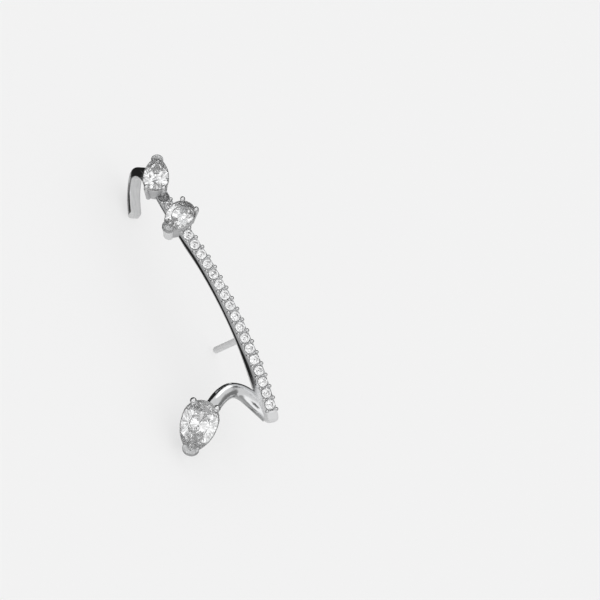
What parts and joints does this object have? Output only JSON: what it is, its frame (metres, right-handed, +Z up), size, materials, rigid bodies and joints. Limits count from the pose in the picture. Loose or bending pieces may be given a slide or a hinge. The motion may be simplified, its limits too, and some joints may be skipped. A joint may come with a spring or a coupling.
{
  "type": "ear climber",
  "caption": "Curved ear climber lying face up: pavé bar with ear hook, post and polished tail arm, and pear-cut stones in three-prong settings.",
  "frame": {"origin": "on the surface that it lies on, at the middle of its footprint box", "axes": "+Z up from the surface, +Y along the bar from the toe to the top stone, +X towards the side that the post leans to"},
  "size_m": [0.0164, 0.0342, 0.0107],
  "materials": {
    "white_metal": "high-polish white metal",
    "clear_stone": "clear, faceted and polished"
  },
  "bodies": {
    "root": {"climber_frame": "white_metal", "top_pear_stone": "clear_stone", "middle_pear_stone": "clear_stone", "lower_pear_stone": "clear_stone", "pave_stone_01": "clear_stone", "pave_stone_02": "clear_stone", "pave_stone_03": "clear_stone", "pave_stone_04": "clear_stone", "pave_stone_05": "clear_stone", "pave_stone_06": "clear_stone", "pave_stone_07": "clear_stone", "pave_stone_08": "clear_stone", "pave_stone_09": "clear_stone", "pave_stone_10": "clear_stone", "pave_stone_11": "clear_stone", "pave_stone_12": "clear_stone", "pave_stone_13": "clear_stone", "pave_stone_14": "clear_stone", "pave_stone_15": "clear_stone", "pave_stone_16": "clear_stone", "pave_stone_17": "clear_stone", "pave_stone_18": "clear_stone", "pave_stone_19": "clear_stone"}
  },
  "joints": []
}
